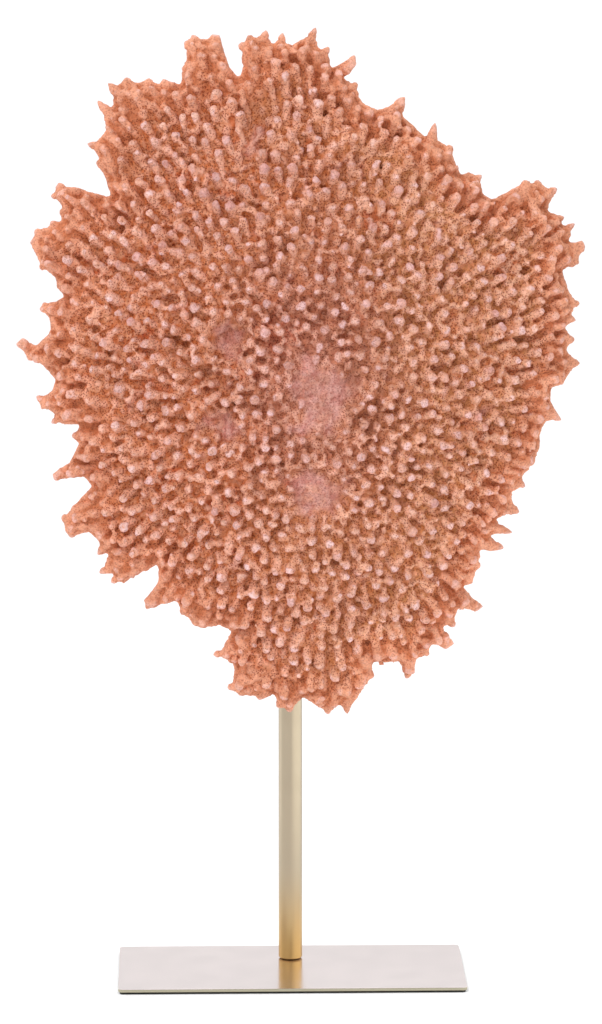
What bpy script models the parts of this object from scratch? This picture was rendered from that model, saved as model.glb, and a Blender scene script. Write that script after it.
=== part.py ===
"""Fan-shaped plate of knobbly coral on a round post and a thin rectangular base.

Metres, +Z up. The front of the coral faces -Y. The origin is the centre of the
stand's underside, on the surface that it rests on.
"""

import math

import bmesh
import bpy
import numpy
from mathutils import Vector, noise
from mathutils.geometry import delaunay_2d_cdt

# Stand
BASE_WIDTH = 0.175
BASE_DEPTH = 0.082
BASE_THICKNESS = 0.0016
BASE_CORNER_RADIUS = 0.0022
BASE_EDGE_BEVEL = 0.0003
PAD_THICKNESS = 0.0008
PAD_INSET = 0.0008
CONTACT_GAP = 0.0003
CORNER_STEPS = 6

POST_RADIUS = 0.0060
POST_Y = 0.0175
POST_TOP = 0.200
POST_CHAMFER = 0.0006
POST_SIDES = 48
SHARP_ANGLE = math.radians(40)
EDGE_ANGLE = math.radians(60)

# Coral: a plate with a dome towards the viewer
CORAL_Y = 0.0060
CORAL_HALF_WIDTH = 0.142
CORAL_HALF_HEIGHT = 0.173
DOME_HEIGHT = 0.014
DOME_WAVE = 0.0035
DOME_WAVE_LENGTH = 0.045
RIM_HALF_THICKNESS = 0.0013
RIDGE_RISE = 0.0016
BACK_AT_RIM = 0.0030
BACK_AT_CENTRE = 0.0080

# Knobs
KNOB_SPACING = 0.0062
KNOB_HEIGHT = 0.0088
KNOB_LEAN_AT_RIM = 0.95
BACK_KNOB_SPACING = 0.0125
BACK_KNOB_HEIGHT = 0.0060
KNOB_HEIGHT_SPREAD = 0.22
RIM_GAP = 0.0034
RIDGE_STEP = 0.0036
RIDGE_STEPS = 3
RIDGE_GAP = 0.00288
RIDGE_CLEARANCE = 0.0011
VALLEY_CLEARANCE = 0.0016
LEAN_REACH = 0.9
SPINE_SHARPNESS = 0.8
DARTS = 16000
DART_BLOCKS = 16
SEED = 11
MERGE_DISTANCE = 1e-7

# Thick part of the back that takes the post
BOSS_RADIUS = 0.0110
BOSS_BOTTOM = 0.149
BOSS_TOP = 0.212
BOSS_FADE = 0.022
BOSS_EDGE = 0.002
BOSS_ROWS = 9
BOSS_COLUMNS = (-1.25, -0.92, -0.55, 0.0, 0.55, 0.92, 1.25)
CLEAR_OF_BOSS = -1.0
SOCKET_CUT_BELOW = 0.040

# The face is given in readings: steps across and down on a picture plane, as an
# eye in front of the coral and above it sees them. A step is half a millimetre
# at the eye's range, and the middle reading lies on the eye's line of sight.
READING = 0.0005
MIDDLE_READING = (301, 512)
MIDDLE_X = 0.005
EYE_RANGE = 2.5
EYE_TILT = math.radians(10.3)
EYE_HEIGHT = 0.6846
GROWTH_CENTRE = (315, 420)

# Rim of the coral in readings, clockwise from the notch at the upper left
RIM_TOP_LEFT = (
    (113, 197), (106, 177), (97, 163), (101, 159), (89, 144), (99, 141), (108, 130),
    (98, 101), (116, 108), (109, 84), (119, 86), (127, 77), (140, 84), (150, 79),
    (160, 86), (164, 80), (182, 85), (182, 68), (188, 59), (184, 44), (194, 35),
    (208, 41), (212, 35), (220, 36),
)
RIM_TOP = (
    (222, 43), (229, 69), (240, 79), (243, 71), (239, 46), (250, 35), (256, 39),
    (267, 31), (273, 46), (283, 34), (290, 48), (299, 43), (316, 29), (320, 51),
    (329, 48), (331, 70), (343, 64), (355, 56), (356, 65), (343, 80), (358, 84),
    (361, 103), (377, 111),
)
RIM_TOP_RIGHT = (
    (389, 108), (398, 100), (405, 99), (403, 118), (425, 138), (435, 124), (437, 141),
    (452, 147), (459, 175), (468, 173), (481, 176), (482, 195), (491, 200), (504, 195),
    (524, 182), (539, 182), (545, 189), (557, 190), (547, 212), (564, 218), (560, 226),
    (574, 225), (568, 244), (582, 242), (585, 249), (578, 265), (561, 272), (568, 292),
    (579, 304), (570, 315), (575, 321), (563, 328), (574, 340), (565, 350),
)
RIM_RIGHT = (
    (579, 364), (566, 376), (562, 384), (550, 387), (549, 400), (560, 420), (545, 420),
    (540, 427), (538, 445), (533, 462), (521, 475), (524, 485), (510, 490), (518, 511),
    (494, 517), (511, 531), (488, 533), (503, 546), (493, 549), (479, 547), (480, 564),
    (471, 581), (461, 583), (482, 605), (474, 609), (457, 602), (454, 624), (441, 622),
    (453, 641), (445, 646), (431, 640), (428, 653), (416, 655), (414, 670), (406, 677),
    (398, 658), (388, 659), (371, 659), (374, 673), (360, 690),
)
RIM_BOTTOM = (
    (347, 711), (340, 701), (328, 711), (315, 701), (303, 693), (291, 709), (277, 704),
    (275, 691), (268, 693), (259, 698), (256, 692), (241, 693), (228, 685), (235, 662),
    (214, 651), (231, 625), (220, 621), (203, 625), (194, 621), (189, 613), (181, 610),
    (178, 597), (161, 601), (147, 606), (145, 597), (160, 578), (159, 560), (148, 567),
    (126, 580), (112, 580), (115, 570), (101, 570), (111, 549), (99, 552), (101, 538),
    (91, 528), (72, 535), (67, 530), (63, 514), (80, 498), (94, 483), (87, 474),
    (56, 477), (55, 472), (72, 459),
)
RIM_LEFT = (
    (81, 441), (73, 433), (83, 421), (70, 422), (53, 421), (57, 411), (43, 407),
    (38, 395), (54, 390), (58, 378), (45, 364), (30, 359), (26, 350), (18, 343),
    (25, 337), (38, 345), (53, 331), (52, 315), (41, 309), (45, 302), (58, 301),
    (66, 295), (59, 288), (57, 276), (42, 269), (37, 252), (31, 243), (37, 228),
    (49, 228), (53, 221), (64, 222), (60, 212), (65, 207), (52, 197), (60, 183),
    (84, 190), (105, 196),
)
RIM_READINGS = RIM_TOP_LEFT + RIM_TOP + RIM_TOP_RIGHT + RIM_RIGHT + RIM_BOTTOM + RIM_LEFT

# Worn patches: centre across and down, half width, half height in readings,
# the share of the knob height left there, and how deep the face sinks.
# A patch is full at its middle and fades out around its edge.
PATCH_FULL = 0.65
PATCH_FADE = 0.7
WORN_PATCHES = (
    (322, 392, 36, 42, 0.10, -0.0015),
    (312, 485, 34, 26, 0.12, 0.0005),
    (227, 340, 22, 20, 0.35, 0.0040),
    (218, 422, 22, 18, 0.35, 0.0035),
    (115, 395, 14, 14, 0.40, 0.0020),
    (258, 125, 9, 42, 0.45, 0.0025),
    (245, 175, 16, 14, 0.45, 0.0015),
    (364, 643, 8, 30, 0.40, 0.0030),
    (257, 672, 12, 12, 0.40, 0.0015),
    (387, 374, 13, 13, 0.40, 0.0025),
    (114, 180, 12, 12, 0.40, 0.0010),
    (507, 270, 12, 12, 0.45, 0.0035),
)

CORAL_COLOUR = (0.68, 0.27, 0.16, 1.0)
METAL_COLOUR = (0.66, 0.56, 0.40, 1.0)
PAD_COLOUR = (0.02, 0.02, 0.02, 1.0)


def clear_scene():
    """Remove everything that a new file starts with."""
    for item in list(bpy.data.objects):
        bpy.data.objects.remove(item, do_unlink=True)


def make_material(name, colour, roughness, metallic):
    """Plain Principled material."""
    material = bpy.data.materials.new(name)
    material.use_nodes = True
    shader = material.node_tree.nodes["Principled BSDF"]
    shader.inputs["Base Color"].default_value = colour
    shader.inputs["Roughness"].default_value = roughness
    shader.inputs["Metallic"].default_value = metallic
    return material


def add_object(name, mesh_data, material, location):
    """Turn a bmesh into a named object that stands at a place."""
    mesh = bpy.data.meshes.new(name)
    mesh_data.to_mesh(mesh)
    mesh_data.free()
    mesh.materials.append(material)
    piece = bpy.data.objects.new(name, mesh)
    piece.location = location
    bpy.context.scene.collection.objects.link(piece)
    return piece


def face_point(reading):
    """Place on the coral's own plane that a reading shows, as x and height."""
    across, down = reading
    below_middle = math.atan((down - MIDDLE_READING[1]) * READING / EYE_RANGE)
    slope = EYE_TILT + below_middle
    distance = EYE_RANGE * math.cos(EYE_TILT) + CORAL_Y
    magnified = distance * math.cos(below_middle) / math.cos(slope) / EYE_RANGE
    x = MIDDLE_X + (across - MIDDLE_READING[0]) * READING * magnified
    return x, EYE_HEIGHT - distance * math.tan(slope)


def rim_distance(points, rim):
    """Distance of each point from the rim, positive inside it."""
    starts = rim[None]
    edges = numpy.roll(rim, -1, axis=0)[None] - starts
    offsets = points[:, None] - starts
    along = (offsets * edges).sum(axis=2) / (edges ** 2).sum(axis=2)
    gaps = offsets - numpy.clip(along, 0, 1)[..., None] * edges
    distance = numpy.hypot(gaps[..., 0], gaps[..., 1]).min(axis=1)
    straddles = (offsets[..., 1] < 0) != (offsets[..., 1] < edges[..., 1])
    rise = numpy.where(straddles, edges[..., 1], 1)
    to_the_right = offsets[..., 1] / rise * edges[..., 0] > offsets[..., 0]
    inside = (straddles & to_the_right).sum(axis=1) % 2 == 1
    return numpy.where(inside, distance, -distance)


def spread_points(rng, rim, spacing, rim_gap, taken):
    """Random points inside the rim, no nearer than the spacing to each other or to those taken."""
    darts = rng.uniform(rim.min(axis=0), rim.max(axis=0), (DARTS, 2))
    blocks = numpy.array_split(darts, DART_BLOCKS)
    inside = numpy.concatenate([rim_distance(block, rim) for block in blocks])
    kept = list(taken)
    for dart in darts[inside > rim_gap]:
        gaps = numpy.array(kept) - dart
        if (gaps ** 2).sum(axis=1).min() > spacing ** 2:
            kept.append(dart)
    return kept[len(taken):]


def ridge_points(rim):
    """Points along the middle of each rim spine, from its tip inwards."""
    found = []
    for index, tip in enumerate(rim):
        before = rim[index - 1] - tip
        after = rim[(index + 1) % len(rim)] - tip
        inward = before / numpy.hypot(*before) + after / numpy.hypot(*after)
        length = numpy.hypot(*inward)
        if length < SPINE_SHARPNESS:
            continue
        for step in range(1, RIDGE_STEPS + 1):
            found.append(tip + inward / length * RIDGE_STEP * step)
    found = numpy.array(found)
    found = found[rim_distance(found, rim) > RIDGE_CLEARANCE]
    kept = []
    for point in found:
        if all(numpy.hypot(*(point - other)) > RIDGE_GAP for other in kept):
            kept.append(point)
    return kept


def triangles_over(rim, inner):
    """Triangles inside the rim, as indices of the rim's points and then the inner ones."""
    points = [Vector(point) for point in [*rim, *inner]]
    edges = [(index, (index + 1) % len(rim)) for index in range(len(rim))]
    result = delaunay_2d_cdt(points, edges, [], 1, MERGE_DISTANCE)
    source = [indices[0] for indices in result[3]]
    return [tuple(source[corner] for corner in face) for face in result[2]]


def valley_points(rim, inner, knob_range):
    """Low points between the knobs: the middles of the triangles that join them."""
    points = numpy.array([*rim, *inner])
    middles = []
    for triangle in triangles_over(rim, inner):
        if sum(corner in knob_range for corner in triangle) >= 2:
            middles.append(points[list(triangle)].mean(axis=0))
    middles = numpy.array(middles)
    return list(middles[rim_distance(middles, rim) > VALLEY_CLEARANCE])


def fade(value):
    """Smooth step from 0 to 1."""
    value = min(max(value, 0.0), 1.0)
    return value * value * (3 - 2 * value)


def worn(point):
    """Share of the knob height left at a point, and how deep the face sinks there."""
    share = 1.0
    sink = 0.0
    for across, down, half_width, half_height, left, depth in WORN_PATCHES:
        x, z = face_point((across, down))
        reach = math.hypot((point[0] - x) / half_width, (point[1] - z) / half_height) / READING
        inside = 1 - fade((reach - PATCH_FULL) / PATCH_FADE)
        share *= 1 - inside * (1 - left)
        sink += inside * depth
    return share, sink


def reach_from_centre(point):
    """How far out a point is, 0 at the growth centre and about 1 at the rim."""
    x, z = face_point(GROWTH_CENTRE)
    return math.hypot((point[0] - x) / CORAL_HALF_WIDTH, (point[1] - z) / CORAL_HALF_HEIGHT)


def dome(point):
    """How far the plate bulges forward at a point."""
    bulge = DOME_HEIGHT * max(0.0, 1 - reach_from_centre(point) ** 2)
    wave = noise.noise(Vector((point[0], 0.0, point[1])) / DOME_WAVE_LENGTH)
    return bulge + wave * DOME_WAVE


def lean(point):
    """Outward lean of the knobs, as sideways travel for each unit of height."""
    x, z = face_point(GROWTH_CENTRE)
    direction = Vector((point[0] - x, point[1] - z))
    if direction.length == 0:
        return direction
    strength = KNOB_LEAN_AT_RIM * fade(reach_from_centre(point) * LEAN_REACH)
    return direction.normalized() * strength


def front_place(point, height):
    """Place in space of a point of the front at a height over the plate."""
    sideways = lean(point) * height
    y = CORAL_Y - dome(point) - height
    return Vector((point[0] + sideways.x, y, point[1] + sideways.y))


def back_place(point, depth):
    """Place in space of a point of the back at a depth behind the plate."""
    plate_y = CORAL_Y - dome(point) + depth
    return Vector((point[0], max(plate_y, boss_y(point)), point[1]))


def boss_y(point):
    """How far back the round boss over the post reaches at a point, or a place far in front."""
    across = point[0] / BOSS_RADIUS
    above = fade((BOSS_TOP + BOSS_FADE - point[1]) / BOSS_FADE)
    if abs(across) > 1 or above == 0 or point[1] <= BOSS_BOTTOM - BOSS_EDGE:
        return CLEAR_OF_BOSS
    round_back = POST_Y + BOSS_RADIUS * math.sqrt(1 - across ** 2)
    return CORAL_Y + (round_back - CORAL_Y) * above


def boss_points():
    """Rows of points over the boss, closer together at its steep sides."""
    top = BOSS_TOP + BOSS_FADE
    heights = numpy.linspace(BOSS_BOTTOM, top, BOSS_ROWS)
    return [numpy.array((column * BOSS_RADIUS, z)) for z in heights for column in BOSS_COLUMNS]


def front_side(rng, rim):
    """Inner points of the front and their places: ridges, knobs and valleys."""
    ridges = ridge_points(rim)
    knobs = spread_points(rng, rim, KNOB_SPACING, RIM_GAP, ridges)
    first_knob = len(rim) + len(ridges)
    knob_range = range(first_knob, first_knob + len(knobs))
    valleys = valley_points(rim, ridges + knobs, knob_range)
    places = [front_place(point, RIM_HALF_THICKNESS + RIDGE_RISE) for point in ridges]
    for point in knobs:
        share, sink = worn(point)
        spread = 1 + KNOB_HEIGHT_SPREAD * rng.uniform(-1, 1)
        places.append(front_place(point, KNOB_HEIGHT * share * spread - sink))
    for point in valleys:
        places.append(front_place(point, RIM_HALF_THICKNESS - worn(point)[1]))
    return ridges + knobs + valleys, places


def back_depth(point):
    """Thickness of the plate behind its middle surface at a point."""
    inward = 1 - min(1.0, reach_from_centre(point) ** 2)
    return BACK_AT_RIM + (BACK_AT_CENTRE - BACK_AT_RIM) * inward


def back_side(rng, rim):
    """Inner points of the back and their places: ridges, low knobs, valleys and the boss."""
    ridges = ridge_points(rim)
    boss = boss_points()
    knobs = spread_points(rng, rim, BACK_KNOB_SPACING, RIM_GAP, ridges + boss)
    first_knob = len(rim) + len(ridges) + len(boss)
    knob_range = range(first_knob, first_knob + len(knobs))
    valleys = valley_points(rim, ridges + boss + knobs, knob_range)
    places = [back_place(point, RIM_HALF_THICKNESS + RIDGE_RISE) for point in ridges]
    places += [back_place(point, back_depth(point)) for point in boss]
    for point in knobs:
        height = BACK_KNOB_HEIGHT * (1 + KNOB_HEIGHT_SPREAD * rng.uniform(-1, 1))
        places.append(back_place(point, back_depth(point) + height))
    places += [back_place(point, back_depth(point)) for point in valleys]
    return ridges + boss + knobs + valleys, places


def add_side(mesh_data, rim, rim_verts, inner, places, facing_front):
    """Triangles of one side of the coral, wound so that they face out."""
    verts = rim_verts + [mesh_data.verts.new(place) for place in places]
    for triangle in triangles_over(rim, inner):
        corners = triangle if facing_front else triangle[::-1]
        mesh_data.faces.new([verts[corner] for corner in corners])


def add_socket_cutter(material):
    """Guide that cuts the blind hole for the post."""
    radius = POST_RADIUS + CONTACT_GAP
    bottom = BOSS_BOTTOM - SOCKET_CUT_BELOW
    top = POST_TOP + CONTACT_GAP
    cutter_data = bmesh.new()
    bmesh.ops.create_cone(cutter_data, cap_ends=True, segments=POST_SIDES, radius1=radius,
                          radius2=radius, depth=top - bottom)
    cutter = add_object("socket_cutter", cutter_data, material, (0, POST_Y, (top + bottom) / 2))
    cutter.hide_render = True
    cutter.display_type = "WIRE"
    return cutter


def add_coral():
    """One grown plate: knobbly front, low-knobbed back, spiny rim and a socket."""
    material = make_material("coral", CORAL_COLOUR, 0.75, 0.0)
    rng = numpy.random.default_rng(SEED)
    rim = numpy.array([face_point(reading) for reading in reversed(RIM_READINGS)])
    mesh_data = bmesh.new()
    front_rim = [mesh_data.verts.new(front_place(p, RIM_HALF_THICKNESS)) for p in rim]
    back_rim = [mesh_data.verts.new(back_place(p, RIM_HALF_THICKNESS)) for p in rim]
    add_side(mesh_data, rim, front_rim, *front_side(rng, rim), True)
    add_side(mesh_data, rim, back_rim, *back_side(rng, rim), False)
    for index in range(len(rim)):
        following = (index + 1) % len(rim)
        near = (front_rim[following], front_rim[index])
        far = (back_rim[index], back_rim[following])
        mesh_data.faces.new(near + far)
    bmesh.ops.recalc_face_normals(mesh_data, faces=mesh_data.faces)
    coral = add_object("coral", mesh_data, material, (0, 0, 0))
    socket = coral.modifiers.new("socket", "BOOLEAN")
    socket.object = add_socket_cutter(material)
    socket.operation = "DIFFERENCE"
    socket.solver = "EXACT"


def add_slab(name, material, width, depth, thickness, bottom, bevel):
    """Thin rectangular slab with round corners and, if asked, softened edges."""
    slab_data = bmesh.new()
    corner_verts = []
    for quarter, (side, end) in enumerate(((1, 1), (-1, 1), (-1, -1), (1, -1))):
        centre_x = side * (width / 2 - BASE_CORNER_RADIUS)
        centre_y = end * (depth / 2 - BASE_CORNER_RADIUS)
        for step in range(CORNER_STEPS + 1):
            angle = (quarter + step / CORNER_STEPS) * math.pi / 2
            x = centre_x + BASE_CORNER_RADIUS * math.cos(angle)
            y = centre_y + BASE_CORNER_RADIUS * math.sin(angle)
            corner_verts.append(slab_data.verts.new((x, y, 0)))
    underside = slab_data.faces.new(corner_verts[::-1])
    extruded = bmesh.ops.extrude_face_region(slab_data, geom=[underside])["geom"]
    raised = [item for item in extruded if isinstance(item, bmesh.types.BMVert)]
    bmesh.ops.translate(slab_data, verts=raised, vec=(0, 0, thickness))
    bmesh.ops.recalc_face_normals(slab_data, faces=slab_data.faces)
    slab = add_object(name, slab_data, material, (0, 0, bottom))
    if bevel:
        edge = slab.modifiers.new("edge", "BEVEL")
        edge.width = bevel
        edge.segments = 2
        edge.limit_method = "ANGLE"
        edge.angle_limit = EDGE_ANGLE


def add_post(material, bottom):
    """Round bar from the plate up into the coral's socket."""
    length = POST_TOP - bottom
    post_data = bmesh.new()
    bmesh.ops.create_cone(post_data, cap_ends=True, segments=POST_SIDES, radius1=POST_RADIUS,
                          radius2=POST_RADIUS, depth=length)
    post = add_object("post", post_data, material, (0, POST_Y, bottom + length / 2))
    post.data.shade_smooth()
    post.data.set_sharp_from_angle(angle=SHARP_ANGLE)
    end_edge = post.modifiers.new("end_edge", "BEVEL")
    end_edge.width = POST_CHAMFER
    end_edge.segments = 1
    end_edge.limit_method = "ANGLE"
    end_edge.angle_limit = EDGE_ANGLE


def add_stand():
    """Pad, plate and post, from the surface up."""
    metal = make_material("satin_brass", METAL_COLOUR, 0.32, 1.0)
    pad = make_material("pad", PAD_COLOUR, 0.9, 0.0)
    inset = 2 * PAD_INSET
    add_slab("base_pad", pad, BASE_WIDTH - inset, BASE_DEPTH - inset, PAD_THICKNESS, 0, 0)
    plate_bottom = PAD_THICKNESS + CONTACT_GAP
    plate_size = (BASE_WIDTH, BASE_DEPTH, BASE_THICKNESS)
    add_slab("base_plate", metal, *plate_size, plate_bottom, BASE_EDGE_BEVEL)
    add_post(metal, plate_bottom + BASE_THICKNESS + CONTACT_GAP)


clear_scene()
add_stand()
add_coral()
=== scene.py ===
import math

import bmesh
import bpy
import numpy
from mathutils import Matrix, Vector, kdtree


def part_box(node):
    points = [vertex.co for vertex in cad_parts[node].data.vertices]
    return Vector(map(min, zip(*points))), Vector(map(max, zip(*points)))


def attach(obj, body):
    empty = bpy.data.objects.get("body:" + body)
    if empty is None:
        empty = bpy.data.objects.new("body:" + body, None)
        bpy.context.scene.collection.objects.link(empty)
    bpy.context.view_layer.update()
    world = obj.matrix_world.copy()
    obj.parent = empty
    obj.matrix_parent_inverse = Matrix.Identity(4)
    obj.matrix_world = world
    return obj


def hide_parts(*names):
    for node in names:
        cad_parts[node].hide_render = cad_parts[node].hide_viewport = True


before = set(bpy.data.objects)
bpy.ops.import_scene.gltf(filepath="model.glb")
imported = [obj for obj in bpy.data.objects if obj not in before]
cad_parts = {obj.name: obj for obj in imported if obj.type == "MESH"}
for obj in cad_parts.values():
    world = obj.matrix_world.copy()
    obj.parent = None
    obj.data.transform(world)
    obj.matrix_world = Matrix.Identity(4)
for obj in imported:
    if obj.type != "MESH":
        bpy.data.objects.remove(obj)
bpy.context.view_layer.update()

MM = 0.001
SEED = 23
WELD_DISTANCE = 1e-6
TINY = 1e-9

# Camera, from the photograph's frame of 602 by 1024
PICTURE_HEIGHT = 1024
METRES_PER_PIXEL = 0.0005
CAMERA_ELEVATION = math.radians(10.3)
CAMERA_AZIMUTH = math.radians(-1.4)
CAMERA_DISTANCE = 2.5
CAMERA_CLIP_END = 50.0
PICTURE_CENTRE = Vector((0.005, 0.0, 0.2376))
SENSOR = 36.0

# The floor reaches this far each way, and up to this height the post is painted a deeper gold, a
# painted reflection of the base plate
FLOOR_HALF = 40.0
GOLD_REFLECTION_HEIGHT = 0.055

# What is read from the CAD solid: the rim wall's edges, and the knobs that stand out of the plate
RIM_THICKNESS = 0.0026
RIM_THICKNESS_SLACK = 2e-6
RIM_SIDEWAYS = 0.0014
KNOB_RISE = 0.0022
KNOB_LOWER_SHARE = 0.6
KNOB_LEAST_LOWER = 4

# The solid's knobs are sunk to this share of their height before fingers grow on them
KNOB_KEPT = 0.30

# Fingers lean away from here, the more the farther out they stand
GROWTH_CENTRE = Vector((0.012, 0.0, 0.2834))
DRAG_START = 40 * MM
DRAG_FULL = 125 * MM
ROOT_DRAG = 9 * MM
TIP_DRAG = 3 * MM

# A finger: stations and widths along its shaft, then the rings of its round cap. A ball has rings only
FINGER_SIDES = 9
FINGER_STATIONS = (0.0, 0.25, 0.5, 0.78)
FINGER_WIDTHS = (0.0, 0.35, 0.7, 0.95)
CAP_ANGLES = [math.radians(angle) for angle in (0, 30, 55, 75)]
BALL_ANGLES = [math.radians(angle) for angle in (-75, -45, -15, 15, 45, 75)]

FINGER_TIP_RADIUS = 2.3 * MM
FINGER_SIZES = (0.8, 1.2)
FINGER_FULL_LENGTH = 8 * MM
FINGER_FOOT_SHARE = 1.3
FINGER_WOBBLE = 1.3 * MM
FINGER_ROOT_DEPTH = 0.1
BACK_FINGER_SIZE = 1.15
BUD_SHARE = 0.6
BUD_RADIUS = 1.3 * MM
BUD_SIZES = (0.7, 1.2)
BUD_HEIGHTS = (0.45, 0.85)

# Smaller growths between the knobs: gap to others, radius of the tip, share of the knobs' length,
# and how many places are tried. A cell of their grid is as wide as the widest gap
BRANCHES = {"gap": 4.4 * MM, "radius": 1.95 * MM, "length": (0.45, 0.90), "tries": 9000}
LUMPS = {"gap": 3.0 * MM, "radius": 1.35 * MM, "length": (0.16, 0.46), "tries": 12000}
BACK_BRANCHES = {"gap": 6.4 * MM, "radius": 2.1 * MM, "length": (0.45, 0.90), "tries": 7000}
BACK_LUMPS = {"gap": 3.4 * MM, "radius": 1.4 * MM, "length": (0.15, 0.45), "tries": 12000}
GROWTH_CELL = BACK_BRANCHES["gap"]
GROWTH_SPREAD = 0.22
NEIGHBOURS = 3
FACING = 0.15
OUTWARD_LEAN = 0.5
RIM_BAND = 18 * MM
RIM_CLEAR = 3.5 * MM
RIM_OVERSHOOT = 0.5 * MM

# Bare patches, where no knob is near, have short growths only
PATCH_GAP = 6.5 * MM
BACK_PATCH_GAP = 12 * MM
PATCH_LENGTH = 0.20
PATCH_SIZES = (0.5, 1.2)

# Spines in the rim's points, each with two buds; the solid's own point is drawn in by a bare share
SPINE_BLUNTNESS = 0.45
SPINE_TIP_RADIUS = 2.0 * MM
SPINE_ROOT_RADIUS = 2.9 * MM
SPINE_TAPER = 0.12
SPINE_SIZES = (0.85, 1.2)
SPINE_LENGTH = 21 * MM
SPINE_LENGTHS = (0.8, 1.2)
SPINE_STEPS = 21
SPINE_STEP = 1 * MM
SPINE_CLEAR = 2.5 * MM
SPINE_RAISE = 2.2 * MM
SPINE_BARE = 0.5
SPINE_BARE_MOST = 4.5 * MM
SPINE_BUD_RADIUS = 1.25 * MM
SPINE_BUD_SIZES = (0.8, 1.3)
SPINE_BUD_PLACES = (0.1, 0.4)
SPINE_BUD_SIDE = 0.75
SPINE_BUD_RAISE = 0.8
INSIDE_STEP = 0.5 * MM

# Fingers near the rim are moved in, step by step, until they stay inside the outline
RIM_POINT_GAP = 1.0 * MM
TIP_HOLD_STEPS = 10
TIP_HOLD_STEP = 0.2

# Hollows of the front, pressed in and darkened by painted shade: x, z and radius in millimetres
HOLLOWS = (
    (-28, 331, 9),
    (-40, 308, 9),
    (31, 306, 9),
    (38, 285, 8),
    (-14, 440, 9),
    (-78, 412, 8),
    (-55, 325, 6),
)
HOLLOW_DEPTH = 3.5 * MM
HOLLOW_REACH = 8 * MM

# Mauve middle of the front
HEART = Vector((0.010, 0.0, 0.308))
HEART_CORE = 6.2 * MM
HEART_RADIUS = 62 * MM
HEART_STRETCH = 1.6

# The merged skin: its voxels, its smoothing, and the scale and strength of each layer of fine lumps
VOXEL = 0.9 * MM
SOFTENING = 0.5
SOFTENING_STEPS = 2
GRAINS = ((3.2 * MM, 1.5 * MM), (1.5 * MM, 0.9 * MM))
LOBES = 5

# How the skin is held in the outline, some points at a time, and kept clear of the post
OUTLINE_BATCH = 20000
OUTLINE_SLACK = 0.05 * MM
OUTLINE_GIVE = 0.35
POST_CLEARANCE = 0.5 * MM
POST_TOP_BAND = 1 * MM

# Where the coral's colours begin and end, measured on the finished skin
COARSE_STEPS = 60
FINE_STEPS = 5
HEIGHT_RANGE = (-1.6 * MM, 2.6 * MM)
CREASE_DEPTH = 0.35 * MM
RIM_RANGE = (2 * MM, 30 * MM)
BARE_RANGE = (4.5 * MM, 9.5 * MM)
INNER_RANGE = (20 * MM, 30 * MM)
FRONT_FACING = (-0.3, 0.4)
HOLLOW_FACING = (-0.6, 0.2)


def new_piece(name, mesh):
    """Object of the visual model that rides on the root body."""
    piece = bpy.data.objects.new(name, mesh)
    bpy.context.scene.collection.objects.link(piece)
    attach(piece, "root")
    return piece


def evaluated_mesh(piece):
    """The piece's mesh with its modifiers applied."""
    bpy.context.view_layer.update()
    graph = bpy.context.evaluated_depsgraph_get()
    return bpy.data.meshes.new_from_object(piece.evaluated_get(graph))


def coral_solid():
    """The coral's CAD solid as a welded bmesh."""
    solid = bmesh.new()
    solid.from_mesh(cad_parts["coral"].data)
    bmesh.ops.remove_doubles(solid, verts=solid.verts, dist=WELD_DISTANCE)
    solid.verts.ensure_lookup_table()
    return solid


def find_knobs(solid, side):
    """Vertex, foot and tip of each knob of one side: -1 for the front, 1 for the back."""
    knobs = []
    for vert in solid.verts:
        around = [edge.other_vert(vert).co for edge in vert.link_edges]
        lower = [point for point in around if (vert.co.y - point.y) * side > KNOB_RISE]
        if len(lower) >= max(KNOB_LOWER_SHARE * len(around), KNOB_LEAST_LOWER):
            foot = sum(lower, Vector()) / len(lower)
            knobs.append((vert, foot, vert.co.copy()))
    return knobs


def find_rim(solid):
    """The rim wall's edges that run across its thickness, in their order around the outline."""
    pair_of = {}
    for edge in solid.edges:
        step = edge.verts[0].co - edge.verts[1].co
        is_across = abs(abs(step.y) - RIM_THICKNESS) < RIM_THICKNESS_SLACK
        if is_across and math.hypot(step.x, step.z) < RIM_SIDEWAYS:
            pair_of[edge.verts[0]] = edge
            pair_of[edge.verts[1]] = edge
    links = {}
    for edge in set(pair_of.values()):
        corners = [vert for face in edge.link_faces for vert in face.verts if vert not in edge.verts]
        beside = [pair_of[vert] for vert in corners if vert in pair_of]
        links[edge] = [other for other in beside if other is not edge]
    start = max(links, key=lambda edge: edge.verts[0].co.z)
    loop = [start]
    following = links[start][0]
    while following is not start:
        loop.append(following)
        onward = [edge for edge in links[following] if edge is not loop[-2]]
        following = onward[0]
    return loop


def middle_of(edge):
    """Middle point of an edge."""
    return (edge.verts[0].co + edge.verts[1].co) / 2


def flat_rim_points(rim):
    """Points along the outline at a small even gap, in the plane y = 0."""
    points = []
    for index, corner in enumerate(rim):
        start = Vector((rim[index - 1].x, 0, rim[index - 1].z))
        end = Vector((corner.x, 0, corner.z))
        count = max(1, round((end - start).length / RIM_POINT_GAP))
        points += [start.lerp(end, step / count) for step in range(count)]
    return points


def steps_beside(rim, index):
    """Steps from a rim point to its two neighbours."""
    return rim[index - 1] - rim[index], rim[(index + 1) % len(rim)] - rim[index]


def inward_at(rim, index):
    """Sum of the unit steps from a rim point to its two neighbours: long where it is pointed."""
    before, after = steps_beside(rim, index)
    return before.normalized() + after.normalized()


def is_spine(rim, index):
    """Whether the rim is pointed here and the point stands outward."""
    inward = inward_at(rim, index)
    return inward.length >= SPINE_BLUNTNESS and is_inside(rim, rim[index] + inward * INSIDE_STEP)


def sink_rim_points(loop, rim):
    """Draw the rim's corners in, so that round fingers and not corners form its points."""
    for index, edge in enumerate(loop):
        if not is_spine(rim, index):
            continue
        direction = inward_at(rim, index).normalized()
        room = min(beside.dot(direction) for beside in steps_beside(rim, index))
        step = direction * min(SPINE_BARE * room, SPINE_BARE_MOST)
        for vert in edge.verts:
            vert.co += step


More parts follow.
